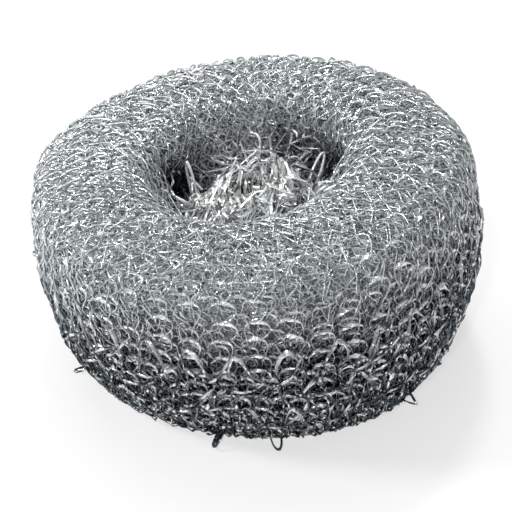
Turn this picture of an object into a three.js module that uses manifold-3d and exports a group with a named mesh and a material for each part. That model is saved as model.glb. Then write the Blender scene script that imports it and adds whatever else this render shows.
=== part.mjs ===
// A knitted steel scouring roll: one sock of flat galvanised wire, rolled over itself into a squat ring
// and drawn together in the middle. All of it is one length of wire, so it is one solid.
// Millimetres, +Z up. The origin is the middle of the flat spot that the roll stands on.
import * as THREE from "three";
import { mergeVertices } from "three/addons/utils/BufferGeometryUtils.js";
import Module from "manifold-3d";

const wasm = await Module();
wasm.setup();

// Overall form
const widestRadius = 39.2; // at the bulge, before the loops stand proud
const rollHeight = 39.3; // floor to crown
const floorGap = 0.1; // only the flat spot touches the floor, and the lowest loops just clear it
const bulgeHeight = 26; // height of the widest ring
const footRadius = 32; // flat spot that it stands on
const crownRadius = 23.5; // ring where the top is highest

// Fullness of the side: where each curve's handles lie. A share is of that curve's own run.
const footEdge = 2.6; // how far the side moves out as it leaves the floor
const footEdgeHeight = 2.6;
const shoulderFullness = 0.92; // 0.55 is a round shoulder, 1 is a square one

// Hollow in the top, where the sock is drawn together
const hollowDepth = 15; // crown to the knot in the middle
const throatRadius = 13.5; // where the hollow's wall turns into its floor
const throatDepth = 11;
const knotRadius = 2.4;
const lipFullness = 0.75; // how far the crown runs level before it turns down into the hollow
const wallLean = 0.15; // lean of the hollow's wall, outward over its last stretch
const wallStretch = 0.4; // and how much of the wall that stretch takes
const floorFullness = 0.8; // how far in the wall runs before it turns into the floor

// Out of true, as it is after handling
const taller = 0.085; // share of the height gained on the +X side and lost on the -X side
const crownShift = -3.4; // how far the crown has moved along X
const crownForward = -1.6; // and along Y, so the hollow lies nearer the front
const outOfRound = 0.008; // share of the radius, as an oval
const ovalTurn = 0.4; // radians
const lumps = 5; // soft swellings round the side
const lumpRise = 0.45;
const lumpTurn = 1.1; // radians

// Knit
const wales = 48; // columns of loops round the roll
const courseSpacing = 3.5; // from one row of loops to the next
const zigzag = 0.95; // how far a loop's head lies past its foot, along the section
const ridgeRise = 0.75; // loop heads above the skin
const grooveSink = 1.4; // between two rows of loops, below the skin
const footSink = 0.45; // loop feet, below the heads
const crowding = 0.75; // share of the relief lost where the loops are drawn together, at the knot
const unevenRise = 0.3; // each loop lies this much off its place at most
const unevenArc = 0.35;

// Gathers in the hollow
const gathers = 13;
const gatherDepth = 2.2;

// Stray loops that stand out of the rim. angle is where, round the roll. turn swings one sideways, tip
// raises its end, and roll lays it from upright, at 0, to flat, at 90. All are in degrees.
const wireWidth = 0.9;
const wireThickness = 0.32;
const loopRoot = 3; // how deep both ends are sunk in the knit
const loopNeck = 0.6; // width where it leaves the knit, as a share of its span
const loopBelly = 0.65; // how far out it is widest, as a share of its reach
const loopSteps = 20;
const strayLoops = [
  { angle: -104, height: 1.2, reach: 4.4, span: 2.2, turn: -4, tip: -4, roll: 35 },
  { angle: -87.5, height: 1.2, reach: 4.2, span: 1.6, turn: 8, tip: -4, roll: 70 },
  { angle: -45, height: 3.6, reach: 3.4, span: 3.2, turn: -4, tip: -6, roll: 30 },
  { angle: -152, height: 4.2, reach: 3.6, span: 2.4, turn: -3, tip: -3, roll: 55 },
  { angle: -171, height: 24, reach: 1.6, span: 2.2, turn: 0, tip: 0, roll: 80 },
];

const degrees = Math.PI / 180;

// Half of the roll's section: out along the floor, up the side, over the crown and down into the hollow.
function rollSection() {
  const sideRun = widestRadius - crownRadius;
  const shoulderRise = rollHeight - bulgeHeight;
  const throatHeight = rollHeight - throatDepth;
  const knotHeight = rollHeight - hollowDepth;
  const wallRun = crownRadius - throatRadius;
  const wall = new THREE.Path();
  wall.moveTo(footRadius, 0);
  wall.bezierCurveTo(
    footRadius + footEdge, footEdgeHeight,
    widestRadius, bulgeHeight / 2,
    widestRadius, bulgeHeight,
  );
  wall.bezierCurveTo(
    widestRadius, bulgeHeight + shoulderRise * shoulderFullness,
    crownRadius + sideRun * shoulderFullness, rollHeight,
    crownRadius, rollHeight,
  );
  wall.bezierCurveTo(
    crownRadius - wallRun * lipFullness, rollHeight,
    throatRadius + wallRun * wallLean, throatHeight + throatDepth * wallStretch,
    throatRadius, throatHeight,
  );
  wall.quadraticCurveTo(throatRadius * floorFullness, knotHeight, knotRadius, knotHeight);
  return wall;
}

const section = rollSection();
const sectionLength = section.getLength();
const courses = Math.round(sectionLength / courseSpacing);
const crownArc = section.getCurveLengths()[1];

// A point on the skin: angle round the roll, arc along the section, and rise off the skin.
function pointOnRoll(angle, arc, rise) {
  const share = THREE.MathUtils.clamp(arc / sectionLength, 0, 1);
  const at = section.getPointAt(share);
  const along = section.getTangentAt(share);
  const up = (at.y - along.x * rise) / rollHeight;
  const oval = 1 + outOfRound * Math.cos(2 * (angle - ovalTurn));
  const swell = lumpRise * Math.sin(lumps * angle + lumpTurn) * Math.sin(Math.PI * share);
  const radius = (at.x + along.y * (rise + swell)) * oval;
  return new THREE.Vector3(
    radius * Math.cos(angle) + crownShift * up,
    radius * Math.sin(angle) + crownForward * up,
    rollHeight * up * (1 + taller * Math.cos(angle)),
  );
}

// The same number from -1 to 1 each time for one column, row and use.
function uneven(column, row, use) {
  return 2 * THREE.MathUtils.seededRandom(1 + column + 2 * wales * (row + 2 * courses * use)) - 1;
}

// Rows run in pairs, a ridge of loops and the groove after it. Each row zigzags, head and foot in turn.
function skinVertex(column, row) {
  const angle = (column * Math.PI) / wales;
  const isHead = column % 2 === 0;
  const isRidge = row % 2 === 1;
  if (row === 0) {
    const scallop = isHead ? footSink : -footSink;
    return pointOnRoll(angle, 0, 0).multiplyScalar(1 + scallop / footRadius).setZ(0);
  }
  const arc = (row * sectionLength) / (2 * courses);
  const inHollow = THREE.MathUtils.smoothstep(arc, crownArc, sectionLength);
  const open = 1 - crowding * inHollow;
  const gather = inHollow * gatherDepth * Math.cos(gathers * angle);
  const relief = isRidge ? ridgeRise - (isHead ? 0 : footSink) : -grooveSink;
  const rise = (relief + unevenRise * uneven(column, row, 0)) * open + gather;
  const lead = ((isHead ? zigzag : -zigzag) + unevenArc * uneven(column, row, 1)) * open;
  const point = pointOnRoll(angle, arc + lead, rise);
  return point.setZ(Math.max(point.z, floorGap));
}

// The roll's skin: a lathe whose rows and columns are moved to the loops' places.
function knittedSkin() {
  const rows = 2 * courses + 1;
  const profile = [new THREE.Vector2(0, 0)];
  for (let row = 0; row < rows; row += 1) {
    profile.push(section.getPointAt(row / (rows - 1)));
  }
  profile.push(new THREE.Vector2(0, rollHeight - hollowDepth));
  const skin = new THREE.LatheGeometry(profile, 2 * wales).rotateX(Math.PI / 2);
  const position = skin.getAttribute("position");
  for (let i = 0; i < position.count; i += 1) {
    const step = i % profile.length;
    const column = Math.floor(i / profile.length) % (2 * wales);
    if (step === 0 || step === profile.length - 1) {
      const height = step === 0 ? 0 : rollHeight - hollowDepth;
      const up = height / rollHeight;
      position.setXYZ(i, crownShift * up, crownForward * up, height);
    } else {
      const { x, y, z } = skinVertex(column, step - 1);
      position.setXYZ(i, x, y, z);
    }
  }
  return skin;
}

// One stray loop: flat wire that leaves the knit, turns round and goes back in.
function strayLoop({ angle, height, reach, span, turn, tip, roll }) {
  const neck = (span * loopNeck) / 2;
  const path = new THREE.CatmullRomCurve3([
    new THREE.Vector3(-loopRoot, 0, neck),
    new THREE.Vector3(0, 0, neck),
    new THREE.Vector3(reach * loopBelly, 0, span / 2),
    new THREE.Vector3(reach, 0, 0),
    new THREE.Vector3(reach * loopBelly, 0, -span / 2),
    new THREE.Vector3(0, 0, -neck),
    new THREE.Vector3(-loopRoot, 0, -neck),
  ]);
  const wire = new THREE.Shape();
  wire.moveTo(-wireThickness / 2, -wireWidth / 2);
  wire.lineTo(wireThickness / 2, -wireWidth / 2);
  wire.lineTo(wireThickness / 2, wireWidth / 2);
  wire.lineTo(-wireThickness / 2, wireWidth / 2);
  const loop = new THREE.ExtrudeGeometry(wire, { steps: loopSteps, extrudePath: path });
  const round = angle * degrees;
  const rim = pointOnRoll(round, arcAtHeight(height), 0);
  loop.rotateX(roll * degrees);
  loop.rotateY(-tip * degrees);
  loop.rotateZ(round + turn * degrees);
  loop.translate(rim.x, rim.y, rim.z);
  loop.computeBoundingBox();
  return loop.translate(0, 0, Math.max(0, floorGap - loop.boundingBox.min.z));
}

// How far along the section the side first reaches a height.
function arcAtHeight(height) {
  let share = 0;
  while (section.getPointAt(share).y < height) share += 0.002;
  return share * sectionLength;
}

// A closed geometry as a solid, and back.
function solidFrom(geometry) {
  const bare = geometry.index ? geometry.toNonIndexed() : geometry.clone();
  bare.deleteAttribute("normal");
  bare.deleteAttribute("uv");
  const merged = mergeVertices(bare, 1e-4);
  return new wasm.Manifold(new wasm.Mesh({
    numProp: 3,
    vertProperties: merged.getAttribute("position").array,
    triVerts: new Uint32Array(merged.index.array),
  }));
}

function geometryFrom(solid) {
  const { vertProperties, triVerts } = solid.getMesh();
  const geometry = new THREE.BufferGeometry();
  geometry.setAttribute("position", new THREE.BufferAttribute(vertProperties, 3));
  geometry.setIndex(new THREE.BufferAttribute(triVerts, 1));
  geometry.computeVertexNormals();
  return geometry;
}

let roll = solidFrom(knittedSkin());
for (const stray of strayLoops) {
  roll = roll.add(solidFrom(strayLoop(stray)));
}

const geometry = geometryFrom(roll);
geometry.computeBoundingBox();
const middle = geometry.boundingBox.getCenter(new THREE.Vector3());
geometry.translate(-middle.x, -middle.y, -geometry.boundingBox.min.z);

const galvanisedSteel = new THREE.MeshStandardMaterial({ color: 0x9aa0a6, roughness: 0.35, metalness: 1 });
const steelWoolRoll = new THREE.Mesh(geometry, galvanisedSteel);
steelWoolRoll.name = "steel_wool_roll";

const part = new THREE.Group();
part.add(steelWoolRoll);
export default part;
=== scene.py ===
# %% [markdown]
# # A knitted steel scouring roll
# The real thing is one sock, knitted from flat galvanised wire, rolled over itself into a squat ring and
# drawn together in the middle of the top. It has no moving parts. The look comes from thousands of open
# loops that lie over each other in layers, so most of this lesson is about knitting in mesh.

# %% The frame
import math

import bmesh
import bpy
import numpy as np
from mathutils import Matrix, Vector


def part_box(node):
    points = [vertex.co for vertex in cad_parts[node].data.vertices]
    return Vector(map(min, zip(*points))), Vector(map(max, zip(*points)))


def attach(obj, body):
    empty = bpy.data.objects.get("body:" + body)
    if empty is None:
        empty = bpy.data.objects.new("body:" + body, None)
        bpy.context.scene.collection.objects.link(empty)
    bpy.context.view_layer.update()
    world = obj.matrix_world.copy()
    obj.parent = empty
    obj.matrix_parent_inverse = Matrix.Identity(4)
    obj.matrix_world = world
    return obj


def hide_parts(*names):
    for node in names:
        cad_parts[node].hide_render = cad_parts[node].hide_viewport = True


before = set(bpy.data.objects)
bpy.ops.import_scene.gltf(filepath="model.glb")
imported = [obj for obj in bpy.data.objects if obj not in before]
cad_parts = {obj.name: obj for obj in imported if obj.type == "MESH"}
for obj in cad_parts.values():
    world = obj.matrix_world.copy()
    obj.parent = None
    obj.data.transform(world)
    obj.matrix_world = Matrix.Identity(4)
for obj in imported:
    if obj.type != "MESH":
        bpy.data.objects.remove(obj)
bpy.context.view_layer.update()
MM = 0.001


def in_mm(values):
    """Lengths as millimetres, for printing."""
    return (np.array(values) / MM).round(2).tolist()


# %% [markdown]
# ## Where the roll stands
# The solid's lowest points are the flat spot that the roll stands on. Its middle gives the axis that the
# section turns round, and its reach gives the radius of the foot. Measuring both from the frame keeps the
# knit on the solid, whatever size that was made.

# %% Axis and foot
TOUCHING = 0.05 * MM  # what lies lower than this is on the floor


def read_corners(mesh):
    """The mesh's vertices, as rows of x, y and z."""
    found = np.empty(3 * len(mesh.vertices))
    mesh.vertices.foreach_get("co", found)
    return found.reshape(-1, 3)


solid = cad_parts["steel_wool_roll"]
corners = read_corners(solid.data)
foot = corners[corners[:, 2] < TOUCHING]
AXIS = (foot.min(axis=0) + foot.max(axis=0)) / 2
FOOT = (foot[:, 1].max() - foot[:, 1].min()) / 2
low, high = (np.array(corner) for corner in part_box("steel_wool_roll"))
WIDEST = (high[1] - low[1]) / 2
TALLEST = high[2]
print("axis, mm:", in_mm(AXIS), "foot radius:", in_mm(FOOT), "widest radius:", in_mm(WIDEST))

# %% [markdown]
# ## The section
# Cut the ring through its axis, and half of the cut is one curve: out along the floor, up the full side,
# over the crown, and down into the hollow. A lathe could turn it, but the knit needs to know how far along
# the curve each loop lies, so the curve is drawn from a few handles and measured by its arc.

# %% A curve from its handles
def bezier(*handles, steps=60):
    """Points on the curve from the first handle to the last, led by the ones between."""
    share = np.linspace(0, 1, steps)[:, None]
    points = [np.array(handle) * np.ones_like(share) for handle in handles]
    while len(points) > 1:
        points = [(1 - share) * a + share * b for a, b in zip(points, points[1:])]
    return points[0]


print("halfway along a straight run:", bezier((0, 0), (2, 4), steps=3)[1].tolist())

# %% The roll's section
PROUD = 0.7 * MM  # loops stand this far out of the skin's middle
TALLER = 0.085  # share of the height gained on the +X side and lost on the -X side
SIDE = WIDEST - PROUD
CROWN = (TALLEST - PROUD) / (1 + TALLER)
BULGE = 0.66 * CROWN  # height of the widest ring
CROWN_RING = 0.6 * SIDE  # radius where the top is highest
THROAT = 0.345 * SIDE  # radius where the hollow's wall turns into its floor
THROAT_DEPTH = 11 * MM
KNOT = 2.4 * MM  # radius at which the sock is drawn shut
KNOT_DEPTH = 15 * MM

FOOT_RISE = 0.6 * MM  # the lowest loops' middle, over the floor
FOOT_STEPS = 30
LEVEL_FOOT = 0.95 * FOOT
FOOT_EDGE = 2.6 * MM  # how far the side moves out as it leaves the floor
LOW_FULLNESS = 0.45  # how far up the side has turned upright, as a share of the bulge's height
FULLNESS = 0.92  # of the shoulder: 0.55 is round, 1 is square
LIP = 0.6  # share of the wall's run that the crown goes on level
WALL_LEAN = 0.35  # the wall's lean over its last stretch, as a share of its run
WALL_STRETCH = 0.3  # and how much of the wall's depth that stretch takes
FLOOR_TURN = 0.8  # how far in the wall runs before it turns into the floor

side_run = SIDE - CROWN_RING
wall_run = CROWN_RING - THROAT
throat_height = CROWN - THROAT_DEPTH
knot_height = CROWN - KNOT_DEPTH
section = np.concatenate([
    bezier((KNOT, FOOT_RISE), (LEVEL_FOOT, FOOT_RISE), steps=FOOT_STEPS),
    bezier(
        (LEVEL_FOOT, FOOT_RISE), (FOOT + FOOT_EDGE, FOOT_RISE),
        (SIDE, LOW_FULLNESS * BULGE), (SIDE, BULGE),
    )[1:],
    bezier(
        (SIDE, BULGE), (SIDE, BULGE + FULLNESS * (CROWN - BULGE)),
        (CROWN_RING + FULLNESS * side_run, CROWN), (CROWN_RING, CROWN),
    )[1:],
    bezier(
        (CROWN_RING, CROWN), (CROWN_RING - LIP * wall_run, CROWN),
        (THROAT + WALL_LEAN * wall_run, throat_height + WALL_STRETCH * THROAT_DEPTH),
        (THROAT, throat_height),
    )[1:],
    bezier((THROAT, throat_height), (FLOOR_TURN * THROAT, knot_height), (KNOT, knot_height))[1:],
])
print("points on the section:", len(section))

# %% Arcs along it
NEARLY_WIDEST = 0.999
arcs = np.concatenate([[0], np.cumsum(np.hypot(*np.diff(section, axis=0).T))])
along = np.gradient(section, arcs, axis=0)
along /= np.hypot(*along.T)[:, None]
LENGTH = arcs[-1]
UNDER = arcs[FOOT_STEPS - 1]
CROWN_ARC = arcs[np.argmax(section[:, 1])]
BULGE_ARC = arcs[np.argmax(section[:, 0] > NEARLY_WIDEST * SIDE)]
for label, arc in (("underside", UNDER), ("bulge", BULGE_ARC), ("crown", CROWN_ARC), ("knot", LENGTH)):
    print(label, "at, mm along the section:", in_mm(arc))


def in_hollow(share):
    """The arc of a place between the crown, at 0, and the knot, at 1."""
    return CROWN_ARC + share * (LENGTH - CROWN_ARC)


def arc_at(height):
    """The arc at which the side reaches a height."""
    side = (arcs > UNDER) & (arcs < CROWN_ARC)
    return float(np.interp(height, section[side, 1], arcs[side]))


# %% [markdown]
# ## From the flat knit to the roll
# Every loop has three flat coordinates: its angle round the roll, its arc along the section, and its rise
# off the skin. One function turns them into a place, so the same knit can be laid at any depth. It also
# puts the roll a little out of true, as the solid is: taller on the right, and lumpy round the side.

# %% A place on the roll
CROWN_SHIFT = np.array([-3.4, -1.6]) * MM  # how far the crown has moved, along X and Y
OUT_OF_ROUND = 0.008  # share of the radius, as an oval
OVAL_TURN = 0.4  # radians
LUMPS = 5  # soft swellings round the side
LUMP_RISE = 0.45 * MM
LUMP_TURN = 1.1  # radians


def on_roll(angle, arc, rise):
    """Places, as rows of x, y and z, from angle, arc and rise."""
    arc = np.clip(arc, 0, LENGTH)
    radius, height = (np.interp(arc, arcs, section[:, i]) for i in (0, 1))
    run, climb = (np.interp(arc, arcs, along[:, i]) for i in (0, 1))
    swell = LUMP_RISE * np.sin(LUMPS * angle + LUMP_TURN) * np.sin(np.pi * arc / LENGTH)
    radius = (radius + climb * (rise + swell)) * (1 + OUT_OF_ROUND * np.cos(2 * (angle - OVAL_TURN)))
    height = height - run * rise
    up = height / CROWN
    return np.stack([
        AXIS[0] + radius * np.cos(angle) + CROWN_SHIFT[0] * up,
        AXIS[1] + radius * np.sin(angle) + CROWN_SHIFT[1] * up,
        height * (1 + TALLER * np.cos(angle)),
    ], axis=-1)


def off_roll(angle, arc):
    """The skin's outward directions at those places."""
    run, climb = (np.interp(np.clip(arc, 0, LENGTH), arcs, along[:, i]) for i in (0, 1))
    return np.stack([climb * np.cos(angle), climb * np.sin(angle), -run], axis=-1)


print("crown on the right, mm:", in_mm(on_roll(np.array([0.0]), np.array([CROWN_ARC]), np.array([0.0]))))

# %% [markdown]
# ## Unevenness
# A machine makes each loop alike, and handling pulls them about. Random numbers on a coarse grid, with a
# smooth rise and fall between grid points, give a field that changes a little from loop to loop. The grid
# closes on itself round the roll, so there is no seam.

# %% A smooth random field
def soft_step(share):
    """The share from 0 to 1, with a level start and end."""
    return share * share * (3 - 2 * share)


def field(rng, columns, rows):
    """A function of turns, from 0 to 1 round the roll, and share, from 0 to 1 along the section."""
    grid = rng.uniform(-1, 1, (columns, rows + 2))

    def value(turns, share):
        x = np.mod(turns, 1) * columns
        y = np.clip(share, 0, 1) * rows
        i = np.floor(x).astype(int) % columns
        j = np.floor(y).astype(int)
        a = soft_step(x - np.floor(x))
        b = soft_step(y - j)
        i2 = (i + 1) % columns
        near = grid[i, j] * (1 - a) + grid[i2, j] * a
        far = grid[i, j + 1] * (1 - a) + grid[i2, j + 1] * a
        return near * (1 - b) + far * b

    return value


drift = field(np.random.default_rng(5), 14, 9)
print("one field on both sides of the seam:", float(drift(0.0, 0.5)), float(drift(1.0, 0.5)))

# %% [markdown]
# ## One loop
# In plain knitting a loop rises, turns over at its head, comes down and passes on to the next, and it bulges
# so that it can hold the loop of the row above. Here one loop is extruded, ring by ring, along that path.
# It is one unit wide and one unit high, and everything larger is made by repeating it.

# %% The loop's path and mesh
SWING = 0.27  # how far a loop bulges sideways, in loop widths
REACH = 0.8  # half of its height, in rows
THIN = 0.01  # any small radius will do, because the corners are set again on the roll


def loop_mesh(rings, swing=SWING, reach=REACH):
    """A tube of three-cornered rings from the foot of one loop to the foot of the next."""
    mesh = bmesh.new()
    bmesh.ops.create_circle(mesh, segments=3, radius=THIN, cap_ends=True)
    cap = mesh.faces[:][0]
    for step in range(rings + 1):
        if step:
            made = bmesh.ops.extrude_face_region(mesh, geom=[cap])["geom"]
            cap = next(item for item in made if isinstance(item, bmesh.types.BMFace))
        turn = 2 * math.pi * step / rings
        place = Vector((
            step / rings + swing * math.sin(2 * turn),
            -reach * math.cos(turn),
            -math.cos(2 * turn),
        ))
        bmesh.ops.translate(mesh, verts=cap.verts, vec=place - cap.calc_center_median())
    ends = [face for face in mesh.faces if len(face.verts) == 3]
    bmesh.ops.delete(mesh, geom=ends, context="FACES_ONLY")
    loop = bpy.data.meshes.new("loop")
    mesh.to_mesh(loop)
    mesh.free()
    return loop


sample = loop_mesh(12)
print("one loop:", len(sample.vertices), "corners,", len(sample.polygons), "faces")
bpy.data.meshes.remove(sample)

# %% [markdown]
# ## Knitting
# Two Array modifiers repeat the loop, round the roll and then row by row, which is far quicker than making
# each copy in Python. The corners of the result come in a known order, so numpy can read the middle of each
# ring, lay it on the roll, and set the ring's three corners square to the wire. The wire then keeps its true
# width and thickness wherever the knit is crowded or stretched. Flat wire bends only about its thin way, so
# in a knit it stands on edge, with its width across the cloth.

# %% Helpers for meshes
NO_LENGTH = 1e-12  # shorter rows are left short, as they can't be scaled to 1


def show(name, mesh):
    """A new object for a mesh, in the scene."""
    made = bpy.data.objects.new(name, mesh)
    bpy.context.scene.collection.objects.link(made)
    return made


def repeated(mesh, columns, rows):
    """The mesh with a copy for each column and row, one unit apart."""
    loop = show("repeated", mesh)
    for label, count, step in (("columns", columns, (1, 0, 0)), ("rows", rows, (0, 1, 0))):
        array = loop.modifiers.new(label, "ARRAY")
        array.count = count
        array.use_relative_offset = False
        array.use_constant_offset = True
        array.constant_offset_displace = step
    bpy.context.view_layer.update()
    graph = bpy.context.evaluated_depsgraph_get()
    made = bpy.data.meshes.new_from_object(loop.evaluated_get(graph), depsgraph=graph)
    bpy.data.objects.remove(loop)
    return made


def write_values(mesh, name, values):
    """Stores one number for each ring of three corners, for the materials to read."""
    made = mesh.attributes.new(name, "FLOAT", "POINT")
    made.data.foreach_set("value", np.repeat(values.ravel(), 3))


def unit(rows):
    """Each row at a length of 1."""
    return rows / np.maximum(np.linalg.norm(rows, axis=-1, keepdims=True), NO_LENGTH)


print("unit row:", unit(np.array([[3.0, 0.0, 4.0]]))[0].tolist())

# %% Helpers for wire
FLOOR = 0.03 * MM  # nothing lies lower than this
JOINED = 0.002 * MM  # loops' ends nearer than this become one
WIRE_CORNERS = ((0.5, -0.4), (0, 0.6), (-0.5, -0.4))  # along its width and its thickness, as shares


def set_square(path, along_wire, facing, twist, width, thickness):
    """The wire's three corners at each place on its path: one flat face, and a low ridge on the other."""
    across = unit(facing - (facing * along_wire).sum(-1, keepdims=True) * along_wire)
    edge = np.cross(along_wire, across)
    turned = np.cos(twist)[..., None] * across + np.sin(twist)[..., None] * edge
    edge = np.cross(along_wire, turned)
    width = np.asarray(width)[..., None]
    return np.stack([path + a * width * turned + b * thickness * edge for a, b in WIRE_CORNERS], axis=-2)


def finished_wire(name, mesh, placed):
    """The wire with its corners in place, its loops' ends joined, and its edges shaded as rounded."""
    placed[..., 2] = np.maximum(placed[..., 2], FLOOR)
    mesh.vertices.foreach_set("co", placed.ravel())
    work = bmesh.new()
    work.from_mesh(mesh)
    bmesh.ops.remove_doubles(work, verts=work.verts, dist=JOINED)
    bmesh.ops.recalc_face_normals(work, faces=work.faces)
    work.to_mesh(mesh)
    work.free()
    mesh.shade_smooth()
    made = show(name, mesh)
    normals = made.modifiers.new("rounded_edges", "WEIGHTED_NORMAL")
    normals.mode = "FACE_AREA"
    normals.keep_sharp = False
    print(name, "faces:", len(mesh.polygons))
    return made


print("helpers for wire ready")

# %% [markdown]
# ## Pleats, pits and flat heads
# Three things give the knit its look beside the loops themselves. The sock is gathered in pleats where it
# is drawn together. Between the hollow's wall and the heap in its middle it sinks into dark pits. And where
# a loop turns over, two wires lie side by side and flat, which is what flashes in rows down the side. Each
# could be modelled on its own, but all are functions of angle and arc, so they go into the one that lays
# the loops. How flat a head lies and how deep a pit is are stored on the mesh, for the finish to read. It
# paints the flat heads near white, as painted highlights, and the deep pits dark, as painted shade.

# %% What bends the knit
STRETCH = 0.35  # how much longer the rows get towards the hollow
GATHERS = 13  # pleats round the hollow
GATHER_DEPTH = 2.2 * MM
PITS = ((25, 0.52, 4.5 * MM), (60, 0.5, 2.5 * MM), (145, 0.52, 4.5 * MM), (-132, 0.55, 4.5 * MM))
PIT_WIDTH = 0.33  # radians
PIT_LENGTH = 0.16  # share of the way from crown to knot
# Painted shade: a pit this deep or deeper is painted fully dark.
FULL_SHADE_DEPTH = 3.5 * MM  # deeper than this, a pit is dark
WAVE = 0.45 * MM  # a loop's sides lie this far over and under its neighbours
SPIN = 0.45  # radians that a loop may be turned in the cloth
CROWDED = 9 * MM  # the radius under which loops wander no wider
CLOTH_GRID = (13, 9)  # columns and rows of the slow wander, which moves the cloth in patches
LOOP_WANDER, CLOTH_WANDER = 0.8, 1.2  # along the cloth, from loop to loop and from patch to patch
LOOP_LIFT, CLOTH_LIFT = 0.5, 0.7  # the same, off the skin
SLOW_TWIST, QUICK_TWIST = 0.25, 0.3  # radians that the wire turns about itself as it goes
QUICKER = 3  # the second twist changes this much faster round the roll
SUNK_MORE = 0.5  # how much deeper the under layers lie down the side
SIDE_STARTS, SIDE_ENDS = 3 * MM, 4 * MM  # above and below the bulge, where the knit turns to its lower look
FLAT = 1.1  # radians from standing on edge to lying nearly flat
HEAD_LENGTH = 0.1  # share of a loop's path that its head takes
DOUBLED = 1.1  # how much wider a flat head looks, where two wires lie side by side
BULGE_BAND = 7 * MM  # more heads lie flat this near the bulge
LOW_HEADS = 0.8  # and this many more below it


def smooth(value, low, high):
    """0 below low, 1 above high, and a soft rise between."""
    return soft_step(np.clip((value - low) / (high - low), 0, 1))


def pits(angle, arc):
    """How far the knit sinks into the pits. Each has an angle, a place from crown to knot, and a depth."""
    depth = 0
    for place, share, deep in PITS:
        off = (angle - np.radians(place) + np.pi) % (2 * np.pi) - np.pi
        along_section = (arc - CROWN_ARC) / (LENGTH - CROWN_ARC) - share
        depth = depth + deep * np.exp(-((off / PIT_WIDTH) ** 2) - (along_section / PIT_LENGTH) ** 2)
    return depth


print("first pit, mm deep:", in_mm(pits(np.radians(PITS[0][0]), in_hollow(PITS[0][1]))))


# %% One layer of knit
def passed_on(rings):
    """The rings of each loop, and after them the next loop's first, which is its last."""
    return np.concatenate([rings, np.roll(rings[:, :, :1], -1, axis=1)], axis=2)


def knit(
    name, columns, rows, rings, start, rise, width, thickness, loose, seed,
    end=LENGTH, kink=0.2, heads=0.3, lie=0.0, low_lie=0.8, swing=SWING, reach=REACH, stagger=0.0,
):
    """A layer of loops from one arc to another, at a rise off the skin.

    loose is how far the loops wander. heads is the share of loops whose heads lie flat, and lie and
    low_lie turn the wire from on edge, at 0, to flat, at 1, everywhere and down the side. stagger is how
    far each row is set round from the one below, in loop widths.
    """
    mesh = repeated(loop_mesh(rings, swing, reach), columns, rows)
    flat = read_corners(mesh).reshape(rows, columns, rings + 1, 3, 3).mean(axis=3)
    rng = np.random.default_rng(seed)
    place = np.arange(columns)[None, :, None] + np.linspace(0, 1, rings + 1)[None, None, :]
    turns = np.broadcast_to(place / columns, flat.shape[:3])
    share = (flat[..., 1] + 0.5) / rows
    row = (np.arange(rows)[:, None, None] + 0.5) / rows * np.ones_like(share)
    sway = [field(rng, columns, rows) for _ in range(6)]
    wander = [field(rng, *CLOTH_GRID) for _ in range(3)]

    def wandered(use, from_loop, from_cloth):
        return loose * (from_loop * sway[use](turns, share) + from_cloth * wander[use](turns, share))

    aside = (flat[..., 0] - place) * 2 * np.pi * SIDE / columns
    ahead = (share - row) * (end - start)
    spin = SPIN * sway[5](turns, row)
    aside, ahead = np.cos(spin) * aside - np.sin(spin) * ahead, np.sin(spin) * aside + np.cos(spin) * ahead
    arc = start + (end - start) * (row + STRETCH * row**3) / (1 + STRETCH) + ahead
    arc = arc + wandered(0, LOOP_WANDER, CLOTH_WANDER)
    around = aside + wandered(1, LOOP_WANDER, CLOTH_WANDER)
    radius = np.interp(np.clip(arc, 0, LENGTH), arcs, section[:, 0])
    step = stagger * np.arange(rows)[:, None, None] / columns
    angle = 2 * np.pi * (turns + step) + around / np.maximum(radius, CROWDED)

    gather = smooth(arc, CROWN_ARC, LENGTH) * GATHER_DEPTH * np.cos(GATHERS * angle)
    down = smooth(-arc, -BULGE_ARC - SIDE_STARTS, SIDE_ENDS - BULGE_ARC)
    lift = rise * (1 + SUNK_MORE * down * (rise < 0)) + gather - pits(angle, arc) + WAVE * flat[..., 2]
    lift = lift + wandered(2, LOOP_LIFT, CLOTH_LIFT)
    path = on_roll(angle, arc, lift)
    joined = path[:, :, :-1].reshape(rows, -1, 3)
    along_wire = unit(np.roll(joined, -1, axis=1) - np.roll(joined, 1, axis=1))
    along_wire = passed_on(along_wire.reshape(rows, columns, rings, 3))

    kinks = passed_on(rng.normal(0, kink, (rows, columns, rings)))
    at_head = np.exp(-(((place - np.floor(place) - 0.5) / HEAD_LENGTH) ** 2))
    near_bulge = np.exp(-(((arc - BULGE_ARC) / BULGE_BAND) ** 2))
    flat_heads = at_head * (rng.random((rows, columns, 1)) < heads * (1 + near_bulge + LOW_HEADS * down))
    twist = FLAT * (lie + low_lie * down + flat_heads) + kinks
    twist = twist + SLOW_TWIST * sway[3](turns, share)
    twist = twist + QUICK_TWIST * sway[4](QUICKER * turns, share)
    placed = set_square(
        path, along_wire, off_roll(angle, arc), twist, width * (1 + DOUBLED * flat_heads), thickness,
    )
    # For the finish: the flat heads, painted near white as painted highlights, and how deep the pits are,
    # painted dark as painted shade.
    write_values(mesh, "painted_glint", flat_heads)
    write_values(mesh, "pit_shade", np.minimum(pits(angle, arc) / FULL_SHADE_DEPTH, 1))
    return finished_wire(name, mesh, placed)


# %% [markdown]
# ## The outer turns
# Only the outer turns of the roll show their loops one by one. Two layers stand for them, one just proud of
# the skin and one just under it, so that the eye looks through one knit into the next. A single layer would
# look like a net over a ball. Their rows don't match, as they don't on a sock that is rolled up.

# %% The outer layers
outer = [
    knit(
        "outer_knit", columns=46, rows=30, rings=18, start=4 * MM, rise=0.2 * MM, width=0.42 * MM,
        thickness=0.13 * MM, loose=0.6 * MM, seed=11, heads=0.55, low_lie=0.2,
    ),
    knit(
        "second_knit", columns=52, rows=32, rings=15, start=8 * MM, rise=-0.6 * MM, width=0.4 * MM,
        thickness=0.13 * MM, loose=0.8 * MM, seed=12, heads=0.55, low_lie=0.3,
    ),
]

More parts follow.
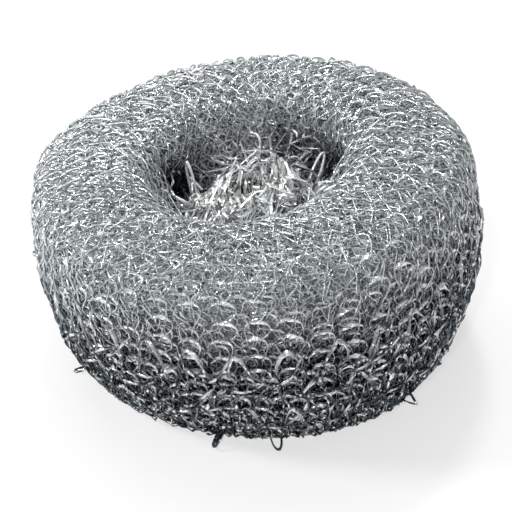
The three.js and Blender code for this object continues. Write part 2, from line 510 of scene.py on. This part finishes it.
# %% [markdown]
# ## Rows down the side, and the foot
# Low on the side the cloth has been pulled. Some rows are drawn out into long flat wires, and in others only
# the heads show, as short bright steps. Round the foot the sock is folded over, and a double chain of
# heavier loops runs along the fold. All of that is knit too, so it comes from the same function, with its
# loops made narrower, flatter or heavier, and each row set half a loop round from the last.

# %% Pulled rows, rows of heads, and the chain round the foot
outer += [
    knit(
        "pulled_knit", columns=31, rows=4, rings=12, start=UNDER + MM, rise=0.7 * MM, width=0.52 * MM,
        thickness=0.14 * MM, loose=0.8 * MM, seed=21, end=BULGE_ARC + 2 * MM, heads=0.5, swing=0.04,
        reach=0.62, stagger=0.5,
    ),
    knit(
        "headed_knit", columns=74, rows=4, rings=14, start=UNDER + 3 * MM, rise=0.5 * MM, width=0.5 * MM,
        thickness=0.13 * MM, loose=0.5 * MM, seed=25, end=BULGE_ARC - 3 * MM, heads=0.8, low_lie=0.3,
        reach=0.5, stagger=0.5,
    ),
    knit(
        "foot_edge", columns=60, rows=2, rings=14, start=UNDER - MM, rise=1.0 * MM, width=0.65 * MM,
        thickness=0.2 * MM, loose=0.2 * MM, seed=23, end=UNDER + 2 * MM, kink=0.05, heads=0.6, swing=0.3,
        reach=0.45, stagger=0.5,
    ),
]

# %% [markdown]
# ## The turns below
# Four more layers fill the gaps with wire that crosses every way. They need fewer rings in a loop, because
# only short stretches of them show, and they wander more, so that no two layers line up. The deeper three
# stop past the pits, where the heap hides them.

# %% The fine layers under them
BELOW = UNDER - 4 * MM
PIT = in_hollow(0.6)
TANGLED = 0.6  # how much these wires kink
fine = [
    knit(
        "third_knit", columns=74, rows=40, rings=10, start=BELOW, rise=-1.4 * MM, width=0.38 * MM,
        thickness=0.12 * MM, loose=1.0 * MM, seed=13, kink=TANGLED,
    ),
    knit(
        "fourth_knit", columns=62, rows=32, rings=12, start=BELOW, rise=-2.3 * MM, width=0.42 * MM,
        thickness=0.12 * MM, loose=1.1 * MM, seed=14, kink=TANGLED, end=PIT,
    ),
    knit(
        "fifth_knit", columns=72, rows=34, rings=10, start=BELOW, rise=-3.2 * MM, width=0.42 * MM,
        thickness=0.12 * MM, loose=1.1 * MM, seed=15, kink=TANGLED, end=PIT,
    ),
    knit(
        "sixth_knit", columns=58, rows=30, rings=10, start=BELOW, rise=-4.3 * MM, width=0.46 * MM,
        thickness=0.12 * MM, loose=1.1 * MM, seed=16, kink=TANGLED, end=PIT,
    ),
]

# %% [markdown]
# ## Drawn together in the hollow
# Where the sock is drawn shut, its loops go slack. Strands cross the hollow, and a heap of curls stands in
# the middle of it. A few large loops that wander far, laid flat and high over the skin, give that tangle
# without a simulation, and they still join up as one wire would.

# %% Strands, and the heap in the middle
strands = [
    knit(
        "hollow_strands", columns=28, rows=3, rings=14, start=in_hollow(0.45), rise=0.8 * MM,
        width=0.56 * MM, thickness=0.13 * MM, loose=1.6 * MM, seed=22, kink=0.4, lie=0.6, swing=0.15,
    ),
    knit(
        "heaped_knit", columns=24, rows=5, rings=16, start=in_hollow(0.6), rise=6.4 * MM, width=0.55 * MM,
        thickness=0.13 * MM, loose=2.4 * MM, seed=24, kink=0.3, heads=1.0, lie=0.8, swing=0.3, reach=1.1,
    ),
]

# %% [markdown]
# ## Loops that stand out of the knit
# Handling has pulled single loops out of the cloth, a few at the foot and many in the heap. Each could be a
# curve with a bevel, but the same loop of mesh serves, laid on a path of its own: out of the knit, round,
# and back in. Those that catch the eye are placed one by one, and chance sets the rest.

# %% Single loops
ROOT = 2 * MM  # how deep both ends are sunk in the knit
SEEN_RINGS = 24  # in a loop or ribbon that is seen by itself


def single_loops(name, loops, width, thickness):
    """Single loops: angle, arc, reach, span, turn, tip, roll and point, with the angles in degrees.

    turn swings a loop sideways, tip raises its end, and roll lays it from upright, at 0, to flat, at 90.
    point draws its round end, at 0, to a sharp one, at 1.
    """
    mesh = repeated(loop_mesh(SEEN_RINGS), len(loops), 1)
    path = np.empty((len(loops), SEEN_RINGS + 1, 3))
    facing = np.empty_like(path)
    round_loop = np.linspace(-np.pi, np.pi, SEEN_RINGS + 1)[:, None]
    straight = round_loop / np.pi
    for i, (angle, arc, reach, span, turn, tip, roll, point) in enumerate(loops):
        angle, turn, tip, roll = np.radians((angle, turn, tip, roll))
        heading = angle + turn
        level = np.array([-np.sin(heading), np.cos(heading), 0])
        out = np.array([np.cos(heading) * np.cos(tip), np.sin(heading) * np.cos(tip), np.sin(tip)])
        across = np.cos(roll) * np.cross(out, level) + np.sin(roll) * level
        root = on_roll(np.array([angle]), np.array([arc]), np.array([0.0])) - ROOT * out
        away = (1 - point) * (0.5 + 0.5 * np.cos(round_loop)) + point * (1 - abs(straight))
        aside = (1 - point) * np.sin(round_loop) + point * straight
        path[i] = root + (reach + ROOT) * away * out + 0.5 * span * aside * across
        facing[i] = np.cross(out, across)
    along_wire = unit(np.gradient(path, axis=1))
    placed = set_square(path, along_wire, facing, np.zeros(path.shape[:2]), width, thickness)
    return finished_wire(name, mesh, placed)


# %% Stray loops out of the foot and the side
strays = single_loops("stray_loops", [
    (-104, arc_at(1.4 * MM), 4.4 * MM, 2.4 * MM, -4, -4, 35, 0),
    (-87.5, arc_at(1.4 * MM), 4.2 * MM, 1.8 * MM, 8, -4, 70, 0),
    (-45, arc_at(3.8 * MM), 3.8 * MM, 3.6 * MM, -4, -6, 30, 0.8),
    (-152, arc_at(4.2 * MM), 3.6 * MM, 2.4 * MM, -3, -3, 55, 0),
    (-171, arc_at(24 * MM), 1.6 * MM, 2.2 * MM, 0, 0, 80, 0),
], width=0.8 * MM, thickness=0.28 * MM)

# %% Loops that stand in the heap
CURLS = 90
chance = np.random.default_rng(31)
standing = single_loops("standing_loops", [
    (-35, in_hollow(0.8), 8 * MM, 3.6 * MM, 60, 65, 90, 0),
    (-100, in_hollow(0.6), 3.2 * MM, 2.6 * MM, 0, 50, 90, 0),
    (-84, in_hollow(0.66), 3 * MM, 2.4 * MM, 0, 60, 80, 0),
] + [
    (
        chance.uniform(0, 360), in_hollow(chance.uniform(0.6, 1.0)), chance.uniform(3, 8) * MM,
        chance.uniform(2.4, 4.4) * MM, chance.uniform(0, 360), chance.uniform(20, 90), chance.uniform(0, 90),
        0,
    )
    for _ in range(CURLS)
], width=0.55 * MM, thickness=0.16 * MM)

# %% [markdown]
# ## Ribbons pulled aslant
# Low on the side long stretches of wire have come free of their loops. They lie over the cloth aslant, as
# flat ribbons that flash where they turn to the light, and a painted highlight is added where they turn.
# Their two ends are sunk in the knit, and a slow wave keeps them from looking ruled.

# %% Ribbons, low on the side
RIBBON_RISE = 2.0 * MM  # how far a ribbon's middle stands over its two ends
RIBBON_SINK = 0.5 * MM
RIBBON_WAVE = 0.5 * MM
GLANCES = 5  # times that a ribbon turns to or from the light
GLANCE_TURN = 0.3  # radians
# Painted highlights: how near white a ribbon is painted where it turns, and all along it.
GLANCE_HIGHLIGHT = 0.6
EVEN_HIGHLIGHT = 0.3
RIBBON_SPACING = 5  # degrees


def laid_ribbons(name, ribbons, width, thickness):
    """Flat wire laid over the knit: angle and arc where it starts, its turn, its climb, and its phase."""
    mesh = repeated(loop_mesh(SEEN_RINGS), len(ribbons), 1)
    share = np.linspace(0, 1, SEEN_RINGS + 1)
    first, start, turn, climb, phase = (np.array(column)[:, None] for column in zip(*ribbons))
    angle = np.radians(first + turn * share)
    arc = start + climb * share + RIBBON_WAVE * np.sin(phase + 2 * np.pi * share)
    path = on_roll(angle, arc, RIBBON_RISE * np.sin(np.pi * share) - RIBBON_SINK)
    along_wire = unit(np.gradient(path, axis=1))
    glances = np.sin(phase + GLANCES * np.pi * share)
    twist = FLAT + GLANCE_TURN * glances
    placed = set_square(path, along_wire, off_roll(angle, arc), twist, width, thickness)
    # Painted highlights along each ribbon, strongest where it turns.
    write_values(mesh, "painted_glint", np.clip(GLANCE_HIGHLIGHT * glances + EVEN_HIGHLIGHT, 0, 1))
    return finished_wire(name, mesh, placed)


pulled = np.random.default_rng(41)
ribbons = laid_ribbons("slanting_ribbons", [
    (
        place + pulled.uniform(-3, 3), arc_at(pulled.uniform(5, 19) * MM), pulled.uniform(9, 17),
        pulled.uniform(2.5, 8) * MM, pulled.uniform(0, 2 * np.pi),
    )
    for place in range(-150, 0, RIBBON_SPACING)
], width=0.55 * MM, thickness=0.15 * MM)
layers = [*outer, *fine, *strands, strays, standing, ribbons]

# %% [markdown]
# ## The turns inside
# Under those layers the real roll goes on, turn after turn, and all that shows of it is a dark grey depth
# between the loops. Knitting it all would cost triangles that nobody could see, so one closed surface,
# spun from the same section and sunk below the last layer, stands in for it. Its finish paints the shade of
# that depth, dark low on the side and in the hollow, and is pale above.

# %% The inner turns
INNER_RISE = -5.0 * MM
INNER_START = UNDER - 2 * MM
OUTLINE_STEPS = 60
SPIN_STEPS = 96
POLE = 0.2 * MM  # the outline comes no nearer to the axis than this
CLOSED = 0.01 * MM  # corners nearer than this become one


def inner_turns():
    """A closed surface inside the layers, spun from the section and set out of true as they are."""
    places = np.linspace(INNER_START, LENGTH, OUTLINE_STEPS)
    rest = on_roll(np.full_like(places, np.pi / 2), places, np.full_like(places, INNER_RISE))
    reach = rest[:, 1] - AXIS[1] - CROWN_SHIFT[1] * rest[:, 2] / CROWN
    work = bmesh.new()
    line = [work.verts.new((max(x, POLE), 0, z)) for x, z in zip(reach, rest[:, 2])]
    ends = [work.verts.new((0, 0, vert.co.z)) for vert in (line[0], line[-1])]
    chain = [ends[0], *line, ends[1]]
    edges = [work.edges.new(pair) for pair in zip(chain, chain[1:])]
    bmesh.ops.spin(
        work, geom=chain + edges, cent=(0, 0, 0), axis=(0, 0, 1), angle=2 * math.pi, steps=SPIN_STEPS,
        use_merge=True,
    )
    bmesh.ops.remove_doubles(work, verts=work.verts, dist=CLOSED)
    bmesh.ops.recalc_face_normals(work, faces=work.faces)
    for vert in work.verts:
        up = vert.co.z / CROWN
        vert.co.z *= 1 + TALLER * vert.co.x / max(vert.co.xy.length, MM)
        vert.co.x += AXIS[0] + CROWN_SHIFT[0] * up
        vert.co.y += AXIS[1] + CROWN_SHIFT[1] * up
    mesh = bpy.data.meshes.new("inner_turns")
    work.to_mesh(mesh)
    work.free()
    mesh.shade_smooth()
    return show("inner_turns", mesh)


inner = inner_turns()
print("inner turns:", len(inner.data.polygons), "faces")

# %% [markdown]
# ## Shading as expressions
# A node tree is easier to read as sums. A small class wraps a socket, so that adding or multiplying two of
# them adds the Math node that does it. A second class adds every other node by one method, and has short
# names for what the finishes use most.


# %% A class for sockets
class Value:
    """A number or colour that may vary over a surface. Sums on it add Math nodes."""

    def __init__(self, tree, socket):
        self.tree = tree
        self.socket = socket

    def math(self, operation, *values):
        return self.tree.node("ShaderNodeMath", {"operation": operation}, *values)

    def __add__(self, other):
        return self.math("ADD", self, other)

    def __sub__(self, other):
        return self.math("SUBTRACT", self, other)

    def __rsub__(self, other):
        return self.math("SUBTRACT", other, self)

    def __mul__(self, other):
        return self.math("MULTIPLY", self, other)

    __radd__ = __add__
    __rmul__ = __mul__


# %% A class for finishes
class Finish:
    """A material whose nodes are added by one method."""

    def __init__(self, name):
        self.material = bpy.data.materials.new(name)
        self.material.use_nodes = True
        self.nodes = self.material.node_tree.nodes
        self.links = self.material.node_tree.links
        self.nodes.clear()

    def node(self, kind, settings=None, *values, output=0, **named):
        """A node of a kind. Its settings come first, then its sockets by order or by name."""
        made = self.nodes.new(kind)
        for key, value in (settings or {}).items():
            setattr(made, key, value)
        sockets = [*enumerate(values), *((key.replace("_", " "), value) for key, value in named.items())]
        for key, value in sockets:
            if isinstance(value, Value):
                self.links.new(value.socket, made.inputs[key])
            elif value is not None:
                made.inputs[key].default_value = value
        return Value(self, made.outputs[output]) if made.outputs else None

    def place(self):
        """Where a point of the surface is, in metres."""
        return self.node("ShaderNodeTexCoord", output="Object")

    def stored(self, name):
        """The number that the mesh holds under that name, and 0 where it holds none."""
        return self.node("ShaderNodeAttribute", {"attribute_name": name}, output="Fac")

    def noise(self, size, detail=2.0):
        """Soft cloudy noise from 0 to 1, with features of about that size in metres."""
        return self.node("ShaderNodeTexNoise", {}, Vector=self.place(), Scale=1 / size, Detail=detail)

    def larger(self, first, second):
        """The larger of two numbers."""
        return self.node("ShaderNodeMath", {"operation": "MAXIMUM"}, first, second)

    def vectors(self, operation, first, second=None, output=0):
        """Vector maths."""
        return self.node("ShaderNodeVectorMath", {"operation": operation}, first, second, output=output)

    def rising(self, value, low, high):
        """0 where a value is below low, 1 where it is above high, and a soft rise between."""
        return self.node("ShaderNodeMapRange", {"interpolation_type": "SMOOTHSTEP"}, value, low, high)

    def height(self, low, high, lean):
        """0 below one height over the floor, 1 above another. They rise by lean for each step along X."""
        return self.rising(self.vectors("DOT_PRODUCT", self.place(), (-lean, 0, 1), "Value"), low, high)

    def beyond(self, middle, near, far):
        """0 nearer than one distance from an upright axis, 1 farther than another."""
        level = self.vectors("MULTIPLY", self.vectors("SUBTRACT", self.place(), middle), (1, 1, 0))
        return self.rising(self.vectors("LENGTH", level, output="Value"), near, far)

    def between(self, mask, first, second):
        """A colour between two others. The Mix node has five sockets for other types before its colours."""
        ends = [end if isinstance(end, Value) else (*end, 1) for end in (first, second)]
        return self.node("ShaderNodeMix", {"data_type": "RGBA"}, mask, *[None] * 5, *ends, output=2)


print("shading classes ready")

# %% [markdown]
# ## Galvanised wire
# Zinc on steel is a cool light grey metal. Each stretch of wire catches the light in its own way, because the
# coating is patchy and the rolling has polished it. So the tone and the roughness wander a little, and a few
# stretches are stained warm. Specks and the flat heads are painted near white, as painted highlights that
# stand in for the wire's flashes. Low on the side and in the pits the wire looks dark, because turn upon turn
# of knit shuts the light out. Only some of those turns are modelled, so that shade is painted in as a dark
# tone there. It reaches higher on the right, away from the lamp at the left.

# %% Numbers for the wire's finish
# Painted shade: below the first height the wire is painted in its low, dark tone, and above the second it
# keeps its lit tones. The heights lean up to the right, away from the key lamp at the left, so the painted
# shade reaches higher there.
SHADE = (15 * MM, 36 * MM)  # the wire darkens over these heights
SHADE_LEAN = 0.1  # how much higher they lie for each step to the right
HOLLOW_AXIS = (float(AXIS[0] + CROWN_SHIFT[0]), float(AXIS[1] + CROWN_SHIFT[1]), 0.0)
# Painted light and shade in the hollow: inside this ring the wire keeps its lit tones, or on the inner turns
# takes the low one.
HOLLOW_EDGE = (17 * MM, 23 * MM)  # the hollow ends over these distances from its axis
PATCH_SIZE = 4 * MM
DENT_SIZE = 0.8 * MM
DENT_DEPTH = 0.25 * MM
STAIN_SIZE = 1.6 * MM
STAIN_LEVEL = 0.7  # noise above this is a stain
STAIN_EDGE = 8  # and how sharply a stain starts
STAIN = (0.8, 0.74, 0.56)
# Painted highlights: specks of noise of this size, and the flat heads, go over to this near white.
GLINT_SIZE = 0.9 * MM
GLINT_EDGE = 12
PAINTED_SHINE = (0.97, 1.0, 1.0)
SMOOTHEST = 0.1
ROUGHER = 0.14  # in a patch
print("hollow's axis, mm:", in_mm(HOLLOW_AXIS))


# %% The wire's finish
def galvanised(name, pale, dull, low, metal, low_metal, spare, shaded_hollow=False):
    """Bright flattened wire, in patches of a pale and a duller tone, and of a low tone low on the side.

    metal and low_metal say how metallic it is, high and low. The low tone is painted shade, and so is the
    darkening in the pits. Specks and flat heads are painted near white, as painted highlights; the higher
    spare is, the rarer a speck. The hollow is lifted out of the painted shade and keeps the bright tones,
    whatever its height, unless shaded_hollow paints the low tone there too, as painted shade.
    """
    finish = Finish(name)
    patches = finish.noise(PATCH_SIZE)
    dents = finish.noise(DENT_SIZE, 1.0)
    tone = finish.between(patches, dull, pale)
    stained = finish.between((finish.noise(STAIN_SIZE) - STAIN_LEVEL) * STAIN_EDGE, tone, STAIN)
    painted_specks = finish.larger((finish.noise(GLINT_SIZE, 1.0) - spare) * GLINT_EDGE, 0.0)
    painted_glint = finish.stored("painted_glint")
    pit_shade = finish.stored("pit_shade")
    # lit is 0 where the wire is painted in shade and 1 where it keeps its lit tones.
    lit = finish.height(*SHADE, SHADE_LEAN)
    outside = finish.beyond(HOLLOW_AXIS, *HOLLOW_EDGE)
    # Painted light in the hollow: it is lifted out of the painted shade, unless the hollow is to be shaded
    # too, as on the inner turns, where it takes the low tone.
    lit = lit * outside if shaded_hollow else finish.larger(lit, 1 - outside)
    # The body's tone, with painted shade: the low tone low on the side and in the pits.
    body = finish.between(lit * (1 - pit_shade), low, stained)
    # Painted highlights: specks and flat heads go over to near white, except in the pits.
    colour = finish.between((painted_specks + painted_glint) * (1 - pit_shade), body, PAINTED_SHINE)
    bump = finish.node("ShaderNodeBump", {}, Strength=1.0, Distance=DENT_DEPTH, Height=dents)
    shader = finish.node(
        "ShaderNodeBsdfPrincipled", {}, Base_Color=colour, Metallic=low_metal - (low_metal - metal) * lit,
        Roughness=SMOOTHEST + ROUGHER * patches, Normal=bump,
    )
    finish.node("ShaderNodeOutputMaterial", {}, Surface=shader)
    return finish.material


# %% Four finishes, from the outer turns to the inner ones
# One wire in four sets of tones. The paler tones of the heap, the under layers and the inner turns are
# painted light, lifting wire that the layers round it shade, and each low tone is painted shade.
bright = galvanised(
    "bright_wire", pale=(0.76, 0.8, 0.82), dull=(0.56, 0.6, 0.62), low=(0.045, 0.062, 0.078),
    metal=0.6, low_metal=0.7, spare=0.58,
)
heap = galvanised(
    "heaped_wire", pale=(0.97, 1.0, 1.0), dull=(0.94, 0.97, 0.98), low=(0.03, 0.035, 0.04),
    metal=0.4, low_metal=0.5, spare=0.4,
)
deep = galvanised(
    "deep_wire", pale=(0.94, 0.98, 0.99), dull=(0.86, 0.9, 0.92), low=(0.008, 0.012, 0.016),
    metal=0.3, low_metal=0.5, spare=0.6,
)
dark = galvanised(
    "inner_wire", pale=(0.92, 0.95, 0.96), dull=(0.8, 0.84, 0.86), low=(0.005, 0.006, 0.007),
    metal=0.0, low_metal=0.0, spare=0.7, shaded_hollow=True,
)
for pieces, finish in (
    ([*outer, strays, ribbons], bright), ([*strands, standing], heap), (fine, deep), ([inner], dark),
):
    for piece in pieces:
        piece.data.materials.clear()
        piece.data.materials.append(finish)
print("finishes:", [material.name for material in bpy.data.materials])

# %% [markdown]
# ## On the frame
# The roll has no moving part, so every layer rides on the one body. The solid is hidden, and the knit shows
# in its place. The outer knit stands for the solid, which stays as the shape for collision.

# %% Pieces on the frame
for piece in [*layers, inner]:
    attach(piece, "root")
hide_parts("steel_wool_roll")
print("pieces on the frame:", len(layers) + 1)

# %% [markdown]
# ## The floor
# A white floor fills the view. Lit by the lamps alone it would be grey, and more light would bleach the
# wire. So the camera, and any metal or glass that shows the floor, see a share of it as plain white, and the
# rest is a matt surface that takes the roll's shadow.

# %% Floor
FLOOR_HALF = 2.0  # metres from its middle to its edge
SHADOW_WASH = 0.6  # share of the floor that the camera sees as plain white
floor_mesh = bmesh.new()
bmesh.ops.create_grid(floor_mesh, x_segments=1, y_segments=1, size=FLOOR_HALF)
floor_data = bpy.data.meshes.new("floor")
floor_mesh.to_mesh(floor_data)
floor_mesh.free()
floor = show("floor", floor_data)
paper = Finish("white_floor")
paper_shader = paper.node(
    "ShaderNodeBsdfPrincipled", {}, Base_Color=(1, 1, 1, 1), Roughness=0.9, Specular_IOR_Level=0.0,
)
paper_glow = paper.node("ShaderNodeEmission", {}, Color=(1, 1, 1, 1), Strength=1.0)
seen = paper.node("ShaderNodeLightPath", output="Is Camera Ray")
mirrored = paper.node("ShaderNodeLightPath", output="Is Glossy Ray")
through = paper.node("ShaderNodeLightPath", output="Is Transmission Ray")
wash = (seen + mirrored + through) * SHADOW_WASH
paper_mix = paper.node("ShaderNodeMixShader", {}, wash, paper_shader, paper_glow)
paper.node("ShaderNodeOutputMaterial", {}, Surface=paper_mix)
floor_data.materials.append(paper.material)
print("floor, m across:", floor.dimensions.x)

# %% [markdown]
# ## The light
# The roll is bright on top and dark low in front, so most light comes from over and behind it. One large
# lamp there gives the even light, and a small one beside it puts sharp sparks on the loops. A third stands
# at the left and models the side, and a tiny one over the front gives the low wires their glints. The world
# adds an even grey, which is what bare metal mostly shows.

# %% Light
LAMP_AIM = Vector((0, 0, 0.02))
WORLD_STRENGTH = 0.38


def lamp(name, place, size, watts):
    """A square soft lamp that faces the roll."""
    data = bpy.data.lights.new(name, "AREA")
    data.size = size
    data.energy = watts
    made = bpy.data.objects.new(name, data)
    made.location = place
    made.rotation_euler = (LAMP_AIM - Vector(place)).to_track_quat("-Z", "Y").to_euler()
    bpy.context.scene.collection.objects.link(made)


lamp("softbox", (-0.15, 0.5, 0.85), size=0.75, watts=3.8)
lamp("spark", (0.0, 0.45, 0.8), size=0.12, watts=2.8)
lamp("key", (-0.75, 0.0, 0.5), size=0.2, watts=4.8)
lamp("glint", (-0.1, -0.55, 0.5), size=0.05, watts=1.3)
world = bpy.data.worlds.new("studio")
bpy.context.scene.world = world
world.use_nodes = True
background = world.node_tree.nodes["Background"]
background.inputs["Color"].default_value = (1, 1, 1, 1)
background.inputs["Strength"].default_value = WORLD_STRENGTH
bpy.context.scene.view_settings.view_transform = "Standard"
print("lamps:", [light.name for light in bpy.data.lights])

# %% [markdown]
# ## The camera
# The view is from the front and 36 degrees above the floor, with a long lens, so near and far loops look
# much the same size.

# %% Camera
ELEVATION = math.radians(36)
DISTANCE = 0.350
FOCAL_PIXELS = 1914
FRAME_PIXELS = 512
SENSOR = 36  # millimetres, over the frame's width
AIM = Vector((0.1 * MM, -1.5 * MM, 17.93 * MM))
lens = bpy.data.cameras.new("camera")
lens.lens = FOCAL_PIXELS / FRAME_PIXELS * SENSOR
lens.clip_start = 0.01
camera = bpy.data.objects.new("camera", lens)
camera.location = AIM + DISTANCE * Vector((0, -math.cos(ELEVATION), math.sin(ELEVATION)))
camera.rotation_euler = (AIM - camera.location).to_track_quat("-Z", "Y").to_euler()
bpy.context.scene.collection.objects.link(camera)
bpy.context.scene.camera = camera
print("lens, mm:", round(lens.lens, 1))

# %% [markdown]
# ## Size
# The triangles of all the pieces are counted. Every piece has to stay inside the solid's box, but for the
# little that loose wire may stand proud.

# %% Sizes and finish
triangles = sum(len(piece.data.loops) - 2 * len(piece.data.polygons) for piece in [*layers, inner])
print("triangles in all:", triangles)
